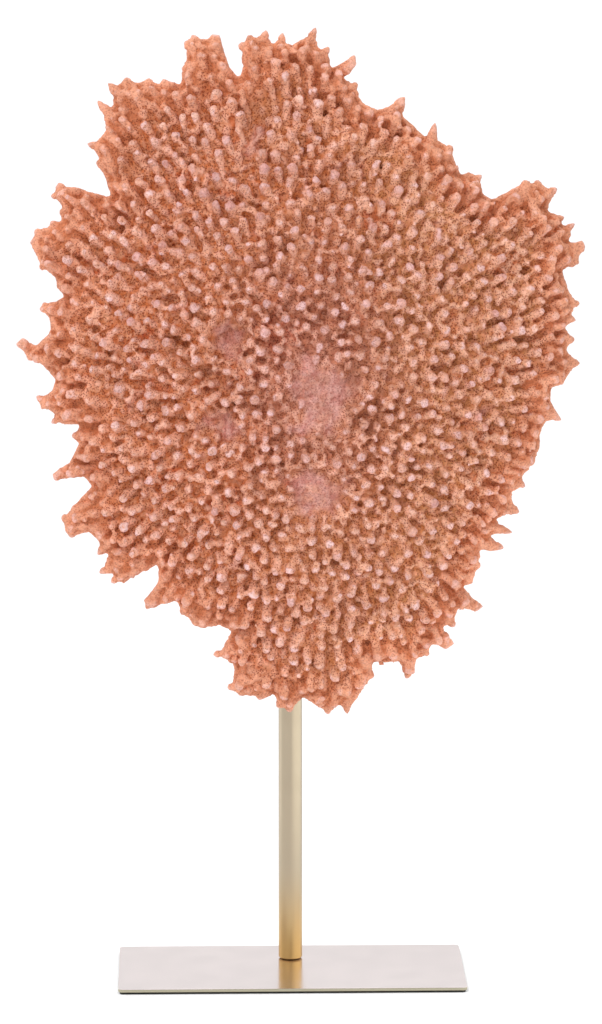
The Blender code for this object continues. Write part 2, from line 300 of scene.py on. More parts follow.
class Shape:
    """Points and faces of many small closed shapes."""

    def __init__(self, source):
        self.points = [vert.co.copy() for vert in source.verts]
        source.verts.index_update()
        self.faces = [[vert.index for vert in face.verts] for face in source.faces]

    def add_tube(self, path, radii):
        """Closed tube along a path, as rings of points."""
        direction = (path[-1] - path[0]).normalized()
        across = direction.orthogonal().normalized()
        beside = direction.cross(across)
        first = len(self.points)
        for point, radius in zip(path, radii):
            for index in range(FINGER_SIDES):
                angle = math.tau * index / FINGER_SIDES
                offset = across * math.cos(angle) + beside * math.sin(angle)
                self.points.append(point + offset * radius)
        for start in range(first, first + (len(path) - 1) * FINGER_SIDES, FINGER_SIDES):
            for index in range(FINGER_SIDES):
                here = start + index
                after = start + (index + 1) % FINGER_SIDES
                self.faces.append((here, after, after + FINGER_SIDES, here + FINGER_SIDES))
        self.faces.append(range(first + FINGER_SIDES - 1, first - 1, -1))
        self.faces.append(range(len(self.points) - FINGER_SIDES, len(self.points)))

    def add_finger(self, root, foot, tip, tip_radius, foot_radius):
        """Tapered finger that bends from its root, over its foot, to a round tip."""
        direction = (tip - foot).normalized()
        centre = tip - direction * tip_radius
        path = []
        for station in FINGER_STATIONS:
            path.append(root.lerp(foot, station).lerp(foot.lerp(centre, station), station))
        radii = [foot_radius + (tip_radius - foot_radius) * width for width in FINGER_WIDTHS]
        for angle in CAP_ANGLES:
            path.append(centre + direction * tip_radius * math.sin(angle))
            radii.append(tip_radius * math.cos(angle))
        self.add_tube(path, radii)

    def add_ball(self, centre, radius):
        """Small round lump, as a short stack of rings."""
        path = []
        radii = []
        for angle in BALL_ANGLES:
            path.append(centre + Vector((0, radius * math.sin(angle), 0)))
            radii.append(radius * math.cos(angle))
        self.add_tube(path, radii)

    def mesh(self, name):
        """All of it as one mesh."""
        mesh = bpy.data.meshes.new(name)
        points = [point[:] for point in self.points]
        mesh.from_pydata(points, [], [list(face) for face in self.faces])
        return mesh


def outward_of(place):
    """Direction in the plate's plane away from the centre of growth, and the share of the drag."""
    outward = place - GROWTH_CENTRE
    outward.y = 0
    share = min(1.0, max(0.0, (outward.length - DRAG_START) / (DRAG_FULL - DRAG_START)))
    return outward.normalized(), share


def hold_tip(tip, foot, radius, rim, rim_tree):
    """The tip, moved sideways towards its foot until its round end lies inside the outline."""
    for _ in range(TIP_HOLD_STEPS):
        to_rim = rim_tree.find((tip.x, 0, tip.z))[2]
        if to_rim > RIM_BAND or (to_rim > radius and is_inside(rim, tip)):
            break
        sideways = foot - tip
        sideways.y = 0
        tip = tip + sideways * TIP_HOLD_STEP
    return tip


def add_fingers(shape, knobs, dice, radius, rim, rim_tree):
    """Fingers on the knobs, dragged outward away from the middle, and small buds on some."""
    for _, foot, tip in knobs:
        axis = tip - foot
        size = min(1.0, axis.length / FINGER_FULL_LENGTH)
        wobble = Vector(dice.uniform(-1, 1, 3)) * FINGER_WOBBLE * size
        outward, share = outward_of(foot)
        root = foot - outward * ROOT_DRAG * share * size - axis * FINGER_ROOT_DEPTH
        end = tip + wobble + outward * TIP_DRAG * share * size
        tip_radius = min(radius * dice.uniform(*FINGER_SIZES), axis.length)
        end = hold_tip(end, foot, tip_radius, rim, rim_tree)
        shape.add_finger(root, foot, end, tip_radius, tip_radius * FINGER_FOOT_SHARE)
        if dice.random() < BUD_SHARE:
            side = axis.normalized().orthogonal()
            side.rotate(Matrix.Rotation(dice.uniform(0, math.tau), 3, axis))
            place = foot + axis * dice.uniform(*BUD_HEIGHTS) + side.normalized() * tip_radius
            bud_radius = BUD_RADIUS * dice.uniform(*BUD_SIZES) * radius / FINGER_TIP_RADIUS
            shape.add_ball(place, bud_radius)


class Growth:
    """Places of growths on one side, kept apart from each other, in a grid of cells."""

    def __init__(self, knobs, side):
        self.side = side
        self.patch_gap = PATCH_GAP if side < 0 else BACK_PATCH_GAP
        self.cells = {}
        self.knobs = knobs
        self.tree = tree_of([foot for _, foot, _ in knobs])
        for _, foot, _ in knobs:
            self.keep(foot)

    def key(self, place):
        """Cell of the grid that a place lies in."""
        return tuple(int(math.floor(value / GROWTH_CELL)) for value in place)

    def keep(self, place):
        """Note that something grows here."""
        self.cells.setdefault(self.key(place), []).append(place)

    def is_free(self, place, gap):
        """Whether nothing grows nearer than the gap, which is no longer than a cell."""
        column, row, layer = self.key(place)
        for x in (column - 1, column, column + 1):
            for y in (row - 1, row, row + 1):
                for z in (layer - 1, layer, layer + 1):
                    for other in self.cells.get((x, y, z), ()):
                        if (other - place).length < gap:
                            return False
        return True

    def axis_at(self, place):
        """Direction and mean length of the knobs around, and how far the nearest one is."""
        axis = Vector()
        length = 0
        for _, index, distance in self.tree.find_n(place, NEIGHBOURS):
            _, foot, tip = self.knobs[index]
            axis += (tip - foot) / (distance + 1 * MM)
            length += (tip - foot).length
        return axis.normalized(), length / NEIGHBOURS, self.tree.find(place)[2]

    def add(self, solid, kind, rim_tree, dice):
        """Growths of one kind at free places of this side, given in the form of knobs."""
        faces = [face for face in solid.faces if face.normal.y * self.side > FACING]
        areas = numpy.array([face.calc_area() for face in faces])
        chosen = dice.choice(len(faces), kind["tries"], p=areas / areas.sum())
        shares = dice.random((kind["tries"], 2))
        found = []
        for index, (first, second) in zip(chosen, shares):
            corners = [vert.co for vert in faces[index].verts]
            if first + second > 1:
                first, second = 1 - first, 1 - second
            place = corners[0].lerp(corners[1], first) + (corners[2] - corners[0]) * second
            if not self.is_free(place, kind["gap"]):
                continue
            self.keep(place)
            direction, length, nearest = self.axis_at(place)
            outward = place - GROWTH_CENTRE
            outward.y = 0
            to_rim = rim_tree.find(Vector((place.x, 0, place.z)))[2]
            if to_rim < RIM_CLEAR:
                continue
            near_rim = max(0.0, 1 - to_rim / RIM_BAND)
            direction = direction + outward.normalized() * OUTWARD_LEAN * near_rim
            spread = Vector(dice.uniform(-GROWTH_SPREAD, GROWTH_SPREAD, 3))
            reach = length * dice.uniform(*kind["length"])
            if nearest > self.patch_gap and near_rim == 0:
                reach = length * PATCH_LENGTH * dice.uniform(*PATCH_SIZES)
            if near_rim > 0:
                reach = min(reach, to_rim + RIM_OVERSHOOT)
            found.append((None, place, place + (direction + spread).normalized() * reach))
        return found


def is_inside(outline, point):
    """Whether a point lies inside the outline, seen from the front."""
    inside = False
    for index, corner in enumerate(outline):
        other = outline[index - 1]
        if (corner.z > point.z) != (other.z > point.z):
            share = (point.z - corner.z) / (other.z - corner.z)
            if point.x < corner.x + (other.x - corner.x) * share:
                inside = not inside
    return inside


def spine_reach(rim, tip, direction, length):
    """How far a spine's root runs inward from its tip before the outline ends it."""
    for step in range(1, SPINE_STEPS + 1):
        reached = step * SPINE_STEP
        if reached > length or not is_inside(rim, tip + direction * (reached + SPINE_CLEAR)):
            break
    return reached


def add_spines(shape, rim, dice):
    """Round spine with two buds in each point of the rim, with its root raised as a rib."""
    for index, tip in enumerate(rim):
        if not is_spine(rim, index):
            continue
        direction = inward_at(rim, index).normalized()
        radius = SPINE_TIP_RADIUS * dice.uniform(*SPINE_SIZES)
        length = SPINE_LENGTH * dice.uniform(*SPINE_LENGTHS)
        reached = spine_reach(rim, tip, direction, length)
        root = tip + direction * reached
        foot = tip + direction * reached * 0.5
        foot.y -= SPINE_RAISE
        root.y -= SPINE_RAISE
        root_radius = min(SPINE_ROOT_RADIUS, radius + SPINE_TAPER * reached)
        shape.add_finger(root, foot, tip, radius, root_radius)
        across = Vector((-direction.z, 0, direction.x))
        for side in (-1, 1):
            bud_radius = SPINE_BUD_RADIUS * dice.uniform(*SPINE_BUD_SIZES)
            place = tip + direction * (radius + reached * dice.uniform(*SPINE_BUD_PLACES))
            raised = Vector((0, radius * dice.uniform(0.0, SPINE_BUD_RAISE), 0))
            place += across * side * radius * SPINE_BUD_SIDE - raised
            if is_inside(rim, place):
                shape.add_ball(place, bud_radius)


def lower_knobs(knobs):
    """Sink the solid's pointed knobs, so that the fingers stand on a lumpy plate."""
    for vert, foot, tip in knobs:
        vert.co = foot + (tip - foot) * KNOB_KEPT


def drop_loose_bits(mesh):
    """Delete the tiny loose bits that the voxels leave, so that the coral is one closed skin."""
    skin = bmesh.new()
    skin.from_mesh(mesh)
    parts = []
    for start in skin.verts:
        if start.tag:
            continue
        start.tag = True
        part = [start]
        for vert in part:
            for edge in vert.link_edges:
                other = edge.other_vert(vert)
                if not other.tag:
                    other.tag = True
                    part.append(other)
        parts.append(part)
    parts.sort(key=len)
    loose = [vert for part in parts[:-1] for vert in part]
    bmesh.ops.delete(skin, geom=loose, context="VERTS")
    skin.to_mesh(mesh)
    skin.free()


def keep_socket_clear(mesh):
    """Push the coral out of the space around the post."""
    low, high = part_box("post")
    axis_x = (low[0] + high[0]) / 2
    axis_y = (low[1] + high[1]) / 2
    radius = (high[0] - low[0]) / 2 + POST_CLEARANCE
    points = read_points(mesh)
    x = points[:, 0] - axis_x
    y = points[:, 1] - axis_y
    distance = numpy.maximum(numpy.hypot(x, y), TINY)
    near = (distance < radius) & (points[:, 2] < high[2] - POST_TOP_BAND)
    points[near, 0] = axis_x + x[near] / distance[near] * radius
    points[near, 1] = axis_y + y[near] / distance[near] * radius
    top = (distance < radius) & (points[:, 2] < high[2] + POST_CLEARANCE) & ~near
    points[top, 2] = high[2] + POST_CLEARANCE
    mesh.vertices.foreach_set("co", points.ravel())


def hold_outline(mesh, outline):
    """Pull what grew past the solid's outline, seen from the front, back to it."""
    points = read_points(mesh)
    low = outline
    high = numpy.roll(outline, -1, axis=0)
    along = high - low
    length = (along ** 2).sum(axis=1)
    for start in range(0, len(points), OUTLINE_BATCH):
        batch = points[start:start + OUTLINE_BATCH]
        flat = batch[:, (0, 2)][:, None, :]
        offset = flat - low
        share = numpy.clip((offset * along).sum(axis=2) / length, 0, 1)
        away = offset - share[:, :, None] * along
        distance = numpy.hypot(away[:, :, 0], away[:, :, 1])
        crosses = (low[:, 1] > flat[:, :, 1]) != (high[:, 1] > flat[:, :, 1])
        rise = numpy.where(along[:, 1] == 0, 1, along[:, 1])
        meets = low[:, 0] + along[:, 0] * (flat[:, :, 1] - low[:, 1]) / rise
        outside = (crosses & (flat[:, :, 0] < meets)).sum(axis=1) % 2 == 0
        nearest = distance.argmin(axis=1)
        rows = numpy.arange(len(batch))
        gap = distance[rows, nearest]
        kept = OUTLINE_SLACK + (gap - OUTLINE_SLACK) * OUTLINE_GIVE
        moved = outside & (gap > OUTLINE_SLACK)
        pull = away[rows, nearest] * (kept / numpy.maximum(gap, TINY) - 1)[:, None]
        batch[moved, 0] += pull[moved, 0]
        batch[moved, 2] += pull[moved, 1]
    mesh.vertices.foreach_set("co", points.ravel())


def hollow_share(points):
    """How much each point lies in one of the front's hollows, from 0 to 1."""
    share = numpy.zeros(len(points))
    for x, z, radius in HOLLOWS:
        reach = numpy.hypot(points[:, 0] - x * MM, points[:, 2] - z * MM) / (radius * MM)
        share = numpy.maximum(share, numpy.exp(-reach ** 2))
    return share


def press_hollows(mesh, middle):
    """Press the front's hollows in, towards the plate's middle."""
    points = read_points(mesh)
    front = smooth_step(middle - points[:, 1], 0, HOLLOW_REACH)
    points[:, 1] += hollow_share(points) * front * HOLLOW_DEPTH
    mesh.vertices.foreach_set("co", points.ravel())
    mesh.update()


def read_points(mesh):
    """The mesh's points as rows of x, y and z."""
    points = numpy.empty(len(mesh.vertices) * 3)
    mesh.vertices.foreach_get("co", points)
    return points.reshape(-1, 3)


def read_normals(mesh):
    """The mesh's point normals as rows of x, y and z."""
    normals = numpy.empty(len(mesh.vertices) * 3)
    mesh.vertex_normals.foreach_get("vector", normals)
    return normals.reshape(-1, 3)


def smooth_step(value, low, high):
    """0 below low, 1 above high, smooth between."""
    share = numpy.clip((value - low) / (high - low), 0, 1)
    return share * share * (3 - 2 * share)


def write_attribute(mesh, name, values):
    """Store one number for each point of the mesh."""
    attribute = mesh.attributes.new(name, "FLOAT", "POINT")
    attribute.data.foreach_set("value", numpy.asarray(values, dtype=numpy.float32))


def neighbour_mean(values, first, second, count):
    """Mean of each point's neighbours along the mesh's edges."""
    total = numpy.empty_like(values)
    for axis in range(3):
        total[:, axis] = (numpy.bincount(first, values[second, axis], len(values))
                          + numpy.bincount(second, values[first, axis], len(values)))
    return total / count[:, None]


def relief(points, normals, edges):
    """How far each point stands out of its surroundings, at a fine and at a coarse scale."""
    first, second = edges[:, 0], edges[:, 1]
    count = numpy.maximum(numpy.bincount(edges.ravel(), minlength=len(points)), 1)
    smooth = points.copy()
    steps = COARSE_STEPS
    for step in range(steps):
        smooth = 0.5 * smooth + 0.5 * neighbour_mean(smooth, first, second, count)
        if step == FINE_STEPS:
            fine = ((points - smooth) * normals).sum(axis=1)
    coarse = ((points - smooth) * normals).sum(axis=1)
    return fine, coarse


def mark_coral(mesh, knob_feet, rim):
    """Attributes that the colours follow: height, the painted shade of hollows and creases, rim, worn
    and heart.
    """
    points = read_points(mesh)
    normals = read_normals(mesh)
    edges = numpy.empty(len(mesh.edges) * 2, dtype=numpy.int32)
    mesh.edges.foreach_get("vertices", edges)
    fine, coarse = relief(points, normals, edges.reshape(-1, 2))
    knob_tree = tree_of(knob_feet)
    rim_tree = tree_of(rim)
    knob_distance = numpy.array([knob_tree.find(point)[2] for point in points])
    rim_distance = numpy.array([rim_tree.find((x, 0, z))[2] for x, _, z in points])
    from_heart = numpy.hypot(points[:, 0] - HEART.x, (points[:, 2] - HEART.z) / HEART_STRETCH)
    front = smooth_step(-normals[:, 1], *FRONT_FACING)
    bare = smooth_step(knob_distance, *BARE_RANGE) * front
    # Mask of painted shade in the front's hollows, on faces turned towards the front.
    hollow_shade = hollow_share(points) * smooth_step(-normals[:, 1], *HOLLOW_FACING)
    write_attribute(mesh, "height", smooth_step(coarse, *HEIGHT_RANGE))
    write_attribute(mesh, "hollow_shade", hollow_shade)
    # Mask of painted shade in the fine creases.
    write_attribute(mesh, "crease_shade", smooth_step(-fine, 0.0, CREASE_DEPTH))
    write_attribute(mesh, "rim", 1 - smooth_step(rim_distance, *RIM_RANGE))
    write_attribute(mesh, "worn", bare * smooth_step(rim_distance, *INNER_RANGE))
    write_attribute(mesh, "heart", (1 - smooth_step(from_heart, HEART_CORE, HEART_RADIUS)) * front)


def tree_of(points):
    """Search tree over points."""
    tree = kdtree.KDTree(len(points))
    for index, point in enumerate(points):
        tree.insert(point, index)
    tree.balance()
    return tree


def grow_shape(solid, front, back, rim, rim_tree, dice):
    """The lumpy plate with all its fingers, branches, lumps and spines, not yet merged."""
    growth = Growth(front, -1)
    branches = growth.add(solid, BRANCHES, rim_tree, dice)
    lumps = growth.add(solid, LUMPS, rim_tree, dice)
    growth = Growth(back, 1)
    back_branches = growth.add(solid, BACK_BRANCHES, rim_tree, dice)
    back_lumps = growth.add(solid, BACK_LUMPS, rim_tree, dice)
    shape = Shape(solid)
    for places, radius in (
        (front, FINGER_TIP_RADIUS),
        (branches, BRANCHES["radius"]),
        (lumps, LUMPS["radius"]),
        (back, FINGER_TIP_RADIUS * BACK_FINGER_SIZE),
        (back_branches, BACK_BRANCHES["radius"]),
        (back_lumps, BACK_LUMPS["radius"]),
    ):
        add_fingers(shape, places, dice, radius, rim, rim_tree)
    add_spines(shape, rim, dice)
    return shape


def merge_shape(shape):
    """The shape's parts merged to one skin by voxels, softened, with fine lumps."""
    draft = bpy.data.objects.new("coral_draft", shape.mesh("coral_rough"))
    bpy.context.scene.collection.objects.link(draft)
    merge = draft.modifiers.new("merge", "REMESH")
    merge.mode = "VOXEL"
    merge.voxel_size = VOXEL
    soften = draft.modifiers.new("soften", "SMOOTH")
    soften.factor = SOFTENING
    soften.iterations = SOFTENING_STEPS
    for scale, strength in GRAINS:
        grain = bpy.data.textures.new("grain", "CLOUDS")
        grain.noise_scale = scale
        grain.noise_depth = 1
        lumpy = draft.modifiers.new("lumpy", "DISPLACE")
        lumpy.texture = grain
        lumpy.strength = strength
        lumpy.mid_level = 0.5
    merged = evaluated_mesh(draft)
    bpy.data.objects.remove(draft)
    return merged


def build_coral():
    """The whole coral as one fine skin that replaces the CAD solid, cut in lobes."""
    dice = numpy.random.default_rng(SEED)
    solid = coral_solid()
    front = find_knobs(solid, -1)
    back = find_knobs(solid, 1)
    loop = find_rim(solid)
    rim = [middle_of(edge) for edge in loop]
    flat_rim = flat_rim_points(rim)
    lower_knobs(front + back)
    sink_rim_points(loop, rim)
    solid.normal_update()
    shape = grow_shape(solid, front, back, rim, tree_of(flat_rim), dice)
    solid.free()
    skin = merge_shape(shape)
    drop_loose_bits(skin)
    hold_outline(skin, numpy.array([(point.x, point.z) for point in rim]))
    press_hollows(skin, sum(point.y for point in rim) / len(rim))
    keep_socket_clear(skin)
    knob_feet = [foot + (tip - foot) * KNOB_KEPT for _, foot, tip in front + back]
    mark_coral(skin, knob_feet, flat_rim)
    split_lobes(skin)


def lobes_of(mesh):
    """Number of the lobe that each face belongs to, by its angle around the centre of growth."""
    centres = numpy.empty(len(mesh.polygons) * 3)
    mesh.polygons.foreach_get("center", centres)
    centres = centres.reshape(-1, 3)
    angles = numpy.arctan2(centres[:, 2] - GROWTH_CENTRE.z, centres[:, 0] - GROWTH_CENTRE.x)
    limits = numpy.quantile(angles, numpy.linspace(0, 1, LOBES + 1)[1:-1])
    return numpy.searchsorted(limits, angles)


def read_marks(mesh):
    """The values of the mesh's own attributes, by name."""
    marks = {}
    for attribute in mesh.attributes:
        if attribute.domain == "POINT" and attribute.data_type == "FLOAT":
            values = numpy.empty(len(mesh.vertices), dtype=numpy.float32)
            attribute.data.foreach_get("value", values)
            marks[attribute.name] = values
    return marks


def split_lobes(mesh):
    """The coral's mesh as several fan-shaped lobes, with its normals kept across their seams."""
    material = coral_material()
    mesh.shade_smooth()
    lobe_of = lobes_of(mesh)
    normals = read_normals(mesh)
    marks = read_marks(mesh)
    points = read_points(mesh)
    corners = numpy.empty(len(mesh.loops), dtype=numpy.int32)
    mesh.loops.foreach_get("vertex_index", corners)
    corners = corners.reshape(-1, 4)
    for lobe in range(LOBES):
        used, renumbered = numpy.unique(corners[lobe_of == lobe], return_inverse=True)
        name = f"coral_lobe_{lobe + 1}"
        part = bpy.data.meshes.new(name)
        part.from_pydata(points[used], [], renumbered.reshape(-1, 4).tolist())
        for mark, values in marks.items():
            write_attribute(part, mark, values[used])
        part.materials.append(material)
        part.shade_smooth()
        part.normals_split_custom_set_from_vertices(normals[used])
        piece = new_piece(name, part)
        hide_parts("coral")


class Nodes:
    """Short way to build a material's nodes."""

    def __init__(self, name):
        self.material = bpy.data.materials.new(name)
        self.material.use_nodes = True
        self.tree = self.material.node_tree
        self.shader = self.tree.nodes["Principled BSDF"]

    def put(self, socket, value):
        """Link another node's output to the socket, or set its plain value."""
        if isinstance(value, bpy.types.NodeSocket):
            self.tree.links.new(value, socket)
        else:
            socket.default_value = value

    def set(self, node, name, value):
        """Link or set an input by its name."""
        self.put(node.inputs[name], value)

    def add(self, kind, **inputs):
        """New node with some of its inputs linked or set."""
        node = self.tree.nodes.new(kind)
        for name, value in inputs.items():
            self.set(node, name.replace("_", " "), value)
        return node

    def attribute(self, name):
        """One of the numbers stored on the mesh's points."""
        node = self.tree.nodes.new("ShaderNodeAttribute")
        node.attribute_name = name
        return node.outputs["Fac"]

    def coordinates(self):
        """Object coordinates, in metres."""
        return self.tree.nodes.new("ShaderNodeTexCoord").outputs["Object"]

    def noise(self, scale, detail=2.0, roughness=0.5):
        """Soft noise from 0 to 1, with scale in waves a metre."""
        node = self.add("ShaderNodeTexNoise", Vector=self.coordinates(), Scale=scale)
        self.set(node, "Detail", detail)
        self.set(node, "Roughness", roughness)
        return node.outputs["Fac"]

    def cells(self, scale):
        """Distance to the middle of irregular cells."""
        node = self.add("ShaderNodeTexVoronoi", Vector=self.coordinates(), Scale=scale)
        return node.outputs["Distance"]

    def ramp(self, value, low, high, start=0.0, end=1.0):
        """Smooth step from start, below low, to end, above high."""
        node = self.add("ShaderNodeMapRange", Value=value)
        node.interpolation_type = "SMOOTHSTEP"
        self.set(node, "From Min", low)
        self.set(node, "From Max", high)
        self.set(node, "To Min", start)
        self.set(node, "To Max", end)
        return node.outputs["Result"]

    def math(self, operation, first, second=0.0):
        """Two numbers joined by a Math node."""
        node = self.tree.nodes.new("ShaderNodeMath")
        node.operation = operation
        self.put(node.inputs[0], first)
        self.put(node.inputs[1], second)
        return node.outputs["Value"]

    def product(self, first, second):
        """Two numbers multiplied."""
        return self.math("MULTIPLY", first, second)

    def mix(self, share, first, second, blend="MIX"):
        """Two colours mixed by a share."""
        node = self.tree.nodes.new("ShaderNodeMix")
        node.data_type = "RGBA"
        node.blend_type = blend
        colours = [socket for socket in node.inputs if socket.type == "RGBA"]
        shares = [socket for socket in node.inputs if socket.type == "VALUE"]
        self.put(shares[0], share)
        self.put(colours[0], first)
        self.put(colours[1], second)
        return [socket for socket in node.outputs if socket.type == "RGBA"][0]

    def bump(self, height, strength, distance, normal=None):
        """Normal that stands for a fine relief, over another normal if one is given."""
        node = self.add("ShaderNodeBump", Height=height, Strength=strength, Distance=distance)
        if normal is not None:
            self.set(node, "Normal", normal)
        return node.outputs["Normal"]


def srgb(red, green, blue):
    """Linear colour of 8-bit screen values."""
    def linear(value):
        share = value / 255
        return share / 12.92 if share <= 0.04045 else ((share + 0.055) / 1.055) ** 2.4
    return (linear(red), linear(green), linear(blue), 1.0)


def coral_body_colour(nodes, height, rim, mottle):
    """Brown and orange valleys under salmon flanks, both tanner towards the right; the valleys are
    darker partly by the coral's colour and partly by painted shade.
    """
    side = nodes.add("ShaderNodeSeparateXYZ", Vector=nodes.coordinates()).outputs["X"]
    wander = nodes.math("ADD", side, nodes.product(nodes.noise(16.0), 0.14))
    drift = nodes.ramp(wander, 0.02, 0.14)
    blush = nodes.ramp(nodes.noise(48.0), 0.56, 0.72)
    deep = nodes.mix(drift, srgb(196, 110, 62), srgb(188, 122, 75))
    deep = nodes.mix(nodes.product(blush, 0.5), deep, srgb(204, 92, 56))
    valley = nodes.mix(mottle, deep, srgb(214, 146, 110))
    valley = nodes.mix(nodes.ramp(rim, 0.3, 0.9), valley, srgb(203, 123, 84))
    flank = nodes.mix(drift, srgb(225, 158, 129), srgb(221, 161, 129))
    flank = nodes.mix(nodes.product(mottle, 0.5), flank, srgb(228, 171, 150))
    flank = nodes.mix(nodes.ramp(rim, 0.2, 0.9, 0.0, 0.7), flank, srgb(220, 146, 112))
    # Partly painted shade: low places get the darker valley colour, high places the flank colour.
    return nodes.mix(nodes.ramp(height, 0.10, 0.50), valley, flank)


def coral_tip_colour(nodes, rim):
    """Pale pink tips, some nearly white, warmer at the rim."""
    pale = nodes.ramp(nodes.noise(170.0, 1.0), 0.42, 0.6)
    tip = nodes.mix(pale, srgb(232, 182, 164), srgb(235, 196, 194))
    return nodes.mix(nodes.ramp(rim, 0.5, 1.0, 0.0, 0.6), tip, srgb(222, 158, 136))


def coral_pores(nodes, height, rim, worn):
    """Fine pores in uneven patches, fainter on the tips, at the rim and on worn skin."""
    where = nodes.ramp(nodes.noise(140.0), 0.24, 0.44)
    pores = nodes.product(nodes.ramp(nodes.cells(980.0), 0.18, 0.50, 1.0, 0.0), where)
    pores = nodes.product(pores, nodes.ramp(height, 0.5, 0.98, 1.0, 0.6))
    pores = nodes.product(pores, nodes.ramp(rim, 0.75, 1.0, 1.0, 0.55))
    return nodes.product(pores, nodes.ramp(worn, 0.2, 1.0, 1.0, 0.6))


def coral_material():
    """Salmon coral: brown valleys that are partly painted shade, creases and hollows darkened by
    painted shade, pale pink tips, mauve worn places and fine dark pores.
    """
    nodes = Nodes("coral_rock")
    height = nodes.attribute("height")
    rim = nodes.attribute("rim")
    worn = nodes.attribute("worn")
    heart = nodes.attribute("heart")
    # Painted shade: how strongly the fine creases are darkened.
    crease_shade = nodes.product(nodes.attribute("crease_shade"), 0.28)
    # Painted shade: how strongly the front's hollows are darkened.
    hollow_shade = nodes.product(nodes.attribute("hollow_shade"), 0.26)
    patch = nodes.noise(110.0, 3.0)
    mottle = nodes.ramp(nodes.noise(300.0), 0.35, 0.65)

    colour = coral_body_colour(nodes, height, rim, mottle)
    # Painted shade: fine creases darkened towards a deep brown.
    colour = nodes.mix(crease_shade, colour, srgb(166, 84, 36))
    tipped = nodes.product(nodes.ramp(height, 0.68, 0.92), nodes.ramp(patch, 0.3, 0.6, 0.35, 0.95))
    colour = nodes.mix(tipped, colour, coral_tip_colour(nodes, rim))
    colour = nodes.mix(nodes.product(heart, 0.36), colour, srgb(182, 118, 112))
    skin = nodes.mix(mottle, srgb(186, 120, 112), srgb(208, 154, 146))
    bare = nodes.product(worn, nodes.ramp(patch, 0.3, 0.6, 0.3, 0.85))
    colour = nodes.mix(bare, colour, skin)
    # Painted shade: the front's hollows darkened towards a deep brown.
    colour = nodes.mix(hollow_shade, colour, srgb(150, 82, 42))

    cloud = nodes.ramp(nodes.noise(90.0), 0.36, 0.64)
    tone = nodes.mix(cloud, (0.86, 0.82, 0.78, 1.0), (1.10, 1.15, 1.18, 1.0))
    toned = nodes.mix(1.0, colour, tone, "MULTIPLY")
    colour = nodes.mix(nodes.ramp(heart, 0.0, 0.8, 0.55, 1.0), colour, toned)
    speckle = nodes.ramp(nodes.noise(1000.0), 0.35, 0.65, 0.88, 1.09)
    colour = nodes.mix(1.0, colour, speckle, "MULTIPLY")
    pores = coral_pores(nodes, height, rim, worn)
    dark = nodes.mix(1.0, colour, srgb(184, 138, 118), "MULTIPLY")
    nodes.set(nodes.shader, "Base Color", nodes.mix(pores, colour, dark))

    nodes.set(nodes.shader, "Specular IOR Level", 0.35)
    nodes.set(nodes.shader, "Roughness", nodes.ramp(patch, 0.3, 0.7, 0.5, 0.72))
    cobbles = nodes.bump(nodes.cells(420.0), -0.35, 0.6 * MM)
    grain = nodes.bump(nodes.noise(900.0, 3.0, 0.6), 0.6, 0.3 * MM, cobbles)
    pitted = nodes.bump(nodes.product(pores, -1.0), 0.8, 0.35 * MM, grain)
    nodes.set(nodes.shader, "Normal", pitted)
    return nodes.material


def metal(nodes, colour, roughness, grain_scale):
    """Satin metal, cloudy between two roughness values, with a fine grain."""
    nodes.set(nodes.shader, "Base Color", colour)
    nodes.set(nodes.shader, "Metallic", 1.0)
    cloudy = nodes.ramp(nodes.noise(60.0, 4.0), 0.3, 0.7, *roughness)
    nodes.set(nodes.shader, "Roughness", cloudy)
    nodes.set(nodes.shader, "Normal", nodes.bump(nodes.noise(grain_scale, 2.0), 0.05, 0.05 * MM))
    return nodes.material


def brass_material():
    """Satin champagne brass, painted a deeper gold towards the foot as a painted reflection of the
    base plate.
    """
    nodes = Nodes("champagne_brass")
    pale = nodes.mix(nodes.noise(14.0, 3.0), srgb(169, 155, 133), srgb(177, 163, 141))
    level = nodes.add("ShaderNodeSeparateXYZ", Vector=nodes.coordinates()).outputs["Z"]
    # Painted reflection: a deeper gold towards the foot stands in for the base plate mirrored in the
    # post.
    colour = nodes.mix(nodes.ramp(level, 0.0, GOLD_REFLECTION_HEIGHT), srgb(200, 164, 104), pale)
    return metal(nodes, colour, (0.30, 0.36), 2500.0)


def plate_material():
    """The same metal on the flat plate, its upward faces painted paler and cooler as a painted
    reflection of the white surroundings, with champagne edges.
    """
    nodes = Nodes("champagne_plate")
    face = nodes.mix(nodes.noise(9.0, 2.0), srgb(222, 210, 209), srgb(226, 215, 213))
    normal = nodes.tree.nodes.new("ShaderNodeNewGeometry").outputs["Normal"]
    level = nodes.add("ShaderNodeSeparateXYZ", Vector=normal).outputs["Z"]
    # Painted reflection: faces that point up get the pale, cool colour of the white surroundings
    # mirrored at a low angle; the edges keep the champagne colour.
    colour = nodes.mix(nodes.ramp(level, 0.3, 0.9), srgb(172, 166, 144), face)
    return metal(nodes, colour, (0.14, 0.22), 2200.0)


def pad_material():
    """Matte black pad."""
    nodes = Nodes("black_pad")
    fibre = nodes.noise(1800.0, 3.0, 0.7)
    nodes.set(nodes.shader, "Base Color", nodes.mix(fibre, srgb(22, 21, 20), srgb(46, 44, 42)))
    nodes.set(nodes.shader, "Roughness", 0.9)
    nodes.set(nodes.shader, "Normal", nodes.bump(fibre, 0.5, 0.1 * MM))
    return nodes.material


def give_material(node, material):
    """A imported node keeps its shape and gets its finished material."""
    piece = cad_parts[node]
    piece.data.materials.clear()
    piece.data.materials.append(material)


def add_lamp(name, size, power, place, target, colour=(1.0, 1.0, 1.0)):
    """Soft rectangular lamp that points at a target."""
    data = bpy.data.lights.new(name, "AREA")
    data.shape = "RECTANGLE"
    data.size = size[0]
    data.size_y = size[1]
    data.energy = power
    data.color = colour
    lamp = bpy.data.objects.new(name, data)
    lamp.location = place
    aim = Vector(target) - Vector(place)
    lamp.rotation_euler = aim.to_track_quat("-Z", "Y").to_euler()
    lamp.visible_camera = False
    bpy.context.scene.collection.objects.link(lamp)


